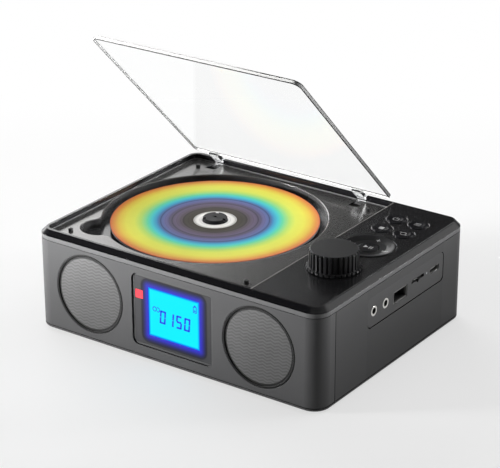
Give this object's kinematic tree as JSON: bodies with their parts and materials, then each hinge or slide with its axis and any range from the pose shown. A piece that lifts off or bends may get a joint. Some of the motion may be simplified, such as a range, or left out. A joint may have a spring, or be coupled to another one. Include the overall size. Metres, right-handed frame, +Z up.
{
  "type": "boombox cd player",
  "caption": "Portable disc player with a clear hinged lid over a round disc well, front speakers and a display, a volume knob with round buttons beside the well, and sockets along its side.",
  "frame": {"origin": "on the floor under the middle of the case, at the bottom centre of the bounding box", "axes": "+X to the right along the front, +Y from the front towards the lid's hinge at the back, +Z up"},
  "size_m": [0.192, 0.15, 0.1614],
  "materials": {
    "case_grey": "fine satin",
    "front_grey": "satin metallic grey",
    "rim_black": "polished",
    "deck_gloss": "polished",
    "panel_black": "polished",
    "port_grey": "satin",
    "bezel_black": "semi-gloss",
    "lcd_blue": "backlit",
    "ir_red": "clear red",
    "board_green": "lacquered laminate",
    "rubber_black": "matt",
    "screw_steel": "zinc plated",
    "knob_black": "satin with a bright edge",
    "shaft_steel": "ground",
    "encoder_metal": "plated",
    "switch_black": "moulded",
    "button_black": "polished",
    "ring_black": "polished",
    "disc_clear": "mirror-backed clear plastic",
    "hub_black": "moulded",
    "motor_steel": "drawn can",
    "chassis_black": "glass-filled",
    "gear_white": "natural acetal",
    "lens_glass": "coated lens",
    "magnet_grey": "ferrite with plated plates",
    "basket_steel": "pressed sheet",
    "cone_paper": "coated paper",
    "grille_metal": "fine mesh",
    "grille_ring_black": "polished",
    "battery_blue": "heat-shrink film",
    "socket_metal": "nickel plated",
    "jack_black": "moulded body with a metal nose",
    "led_white": "light pipe",
    "lid_clear": "clear, polished",
    "arm_clear": "clear, polished"
  },
  "bodies": {
    "case": {"bottom_plate": "case_grey", "rubber_feet": "rubber_black", "case_screws": "screw_steel", "main_housing": "case_grey", "front_panel": "front_grey", "top_frame": "rim_black", "deck_tray": "deck_gloss", "control_panel": "panel_black", "port_panel": "port_grey", "display_bezel": "bezel_black", "lcd_module": "lcd_blue", "ir_window": "ir_red", "display_board": "board_green", "encoder_body": "encoder_metal", "tact_switches": "switch_black", "button_board": "board_green", "spindle_motor": "motor_steel", "mechanism_chassis": "chassis_black", "damper_mounts": "rubber_black", "guide_rods": "shaft_steel", "feed_motor": "motor_steel", "main_board": "board_green", "battery_pack": "battery_blue", "port_board": "board_green", "headphone_jack": "jack_black", "aux_jack": "jack_black", "usb_socket": "socket_metal", "card_socket": "socket_metal", "charge_socket": "socket_metal", "status_light": "led_white", "hinge_pins": "shaft_steel", "lid_bumpers": "rubber_black", "grille_left": "grille_metal", "grille_right": "grille_metal", "grille_ring_left": "grille_ring_black", "grille_ring_right": "grille_ring_black", "speaker_left": "basket_steel", "speaker_right": "basket_steel", "speaker_cone_left": "cone_paper", "speaker_cone_right": "cone_paper", "speaker_magnets": "magnet_grey"},
    "lid": {"lid": "lid_clear", "hinge_arm_left": "arm_clear", "hinge_arm_right": "arm_clear"},
    "disc_drive": {"compact_disc": "disc_clear", "spindle_hub": "hub_black", "spindle_shaft": "shaft_steel"},
    "volume": {"volume_knob": "knob_black", "encoder_shaft": "shaft_steel"},
    "nav_pivot": {"nav_rubber": "rubber_black"},
    "nav_ring": {"nav_ring": "ring_black"},
    "play_button": {"play_button": "button_black"},
    "power_button": {"power_button": "button_black"},
    "mode_button": {"mode_button": "button_black"},
    "repeat_button": {"repeat_button": "button_black"},
    "stop_button": {"stop_button": "button_black"},
    "pickup": {"pickup_sled": "chassis_black", "pickup_lens": "lens_glass"},
    "feed_gear": {"feed_gear": "gear_white"},
    "feed_pinion": {"feed_pinion": "gear_white"}
  },
  "joints": [
    {"name": "lid_hinge", "type": "hinge", "parent": "case", "child": "lid", "pos_m": [-0.021, 0.0727, 0.0574], "axis": [-1, 0, 0], "range_deg": [-45.3, 25]},
    {"name": "disc_spin", "type": "hinge", "parent": "case", "child": "disc_drive", "pos_m": [-0.0272, 0.0024, 0.0538], "axis": [0, 0, 1], "continuous": true},
    {"name": "volume_turn", "type": "hinge", "parent": "case", "child": "volume", "pos_m": [0.07105, -0.0242, 0.0605], "axis": [0, 0, 1], "continuous": true},
    {"name": "nav_tilt_front_back", "type": "hinge", "parent": "case", "child": "nav_pivot", "pos_m": [0.07105, 0.0102, 0.057], "axis": [1, 0, 0], "range_deg": [-2.5, 2.5], "stiffness_Nm_per_rad": 0.3},
    {"name": "nav_tilt_left_right", "type": "hinge", "parent": "nav_pivot", "child": "nav_ring", "pos_m": [0.07105, 0.0102, 0.057], "axis": [0, 1, 0], "range_deg": [-2.5, 2.5], "stiffness_Nm_per_rad": 0.3},
    {"name": "play_press", "type": "slide", "parent": "case", "child": "play_button", "axis": [0, 0, 1], "range_m": [-0.0005, 0], "stiffness_N_per_m": 800, "springref_m": 0.0003},
    {"name": "power_press", "type": "slide", "parent": "case", "child": "power_button", "axis": [0, 0, 1], "range_m": [-0.0005, 0], "stiffness_N_per_m": 800, "springref_m": 0.0003},
    {"name": "mode_press", "type": "slide", "parent": "case", "child": "mode_button", "axis": [0, 0, 1], "range_m": [-0.0005, 0], "stiffness_N_per_m": 800, "springref_m": 0.0003},
    {"name": "repeat_press", "type": "slide", "parent": "case", "child": "repeat_button", "axis": [0, 0, 1], "range_m": [-0.0005, 0], "stiffness_N_per_m": 800, "springref_m": 0.0003},
    {"name": "stop_press", "type": "slide", "parent": "case", "child": "stop_button", "axis": [0, 0, 1], "range_m": [-0.0005, 0], "stiffness_N_per_m": 800, "springref_m": 0.0003},
    {"name": "pickup_feed", "type": "slide", "parent": "case", "child": "pickup", "axis": [1, 0, 0], "range_m": [0, 0.034]},
    {"name": "feed_gear_turn", "type": "hinge", "parent": "case", "child": "feed_gear", "pos_m": [0.0118, -0.0212, 0.043], "axis": [0, 0, 1], "range_deg": [-541.5, 0]},
    {"name": "feed_pinion_turn", "type": "hinge", "parent": "case", "child": "feed_pinion", "pos_m": [0.00141, -0.0272, 0.043], "axis": [0, 0, 1], "range_deg": [0, 1624]}
  ],
  "couplings": [
    {"joint": "feed_gear_turn", "follows": "pickup_feed", "rad_per_m": -277.78},
    {"joint": "feed_pinion_turn", "follows": "pickup_feed", "rad_per_m": 833.33}
  ]
}
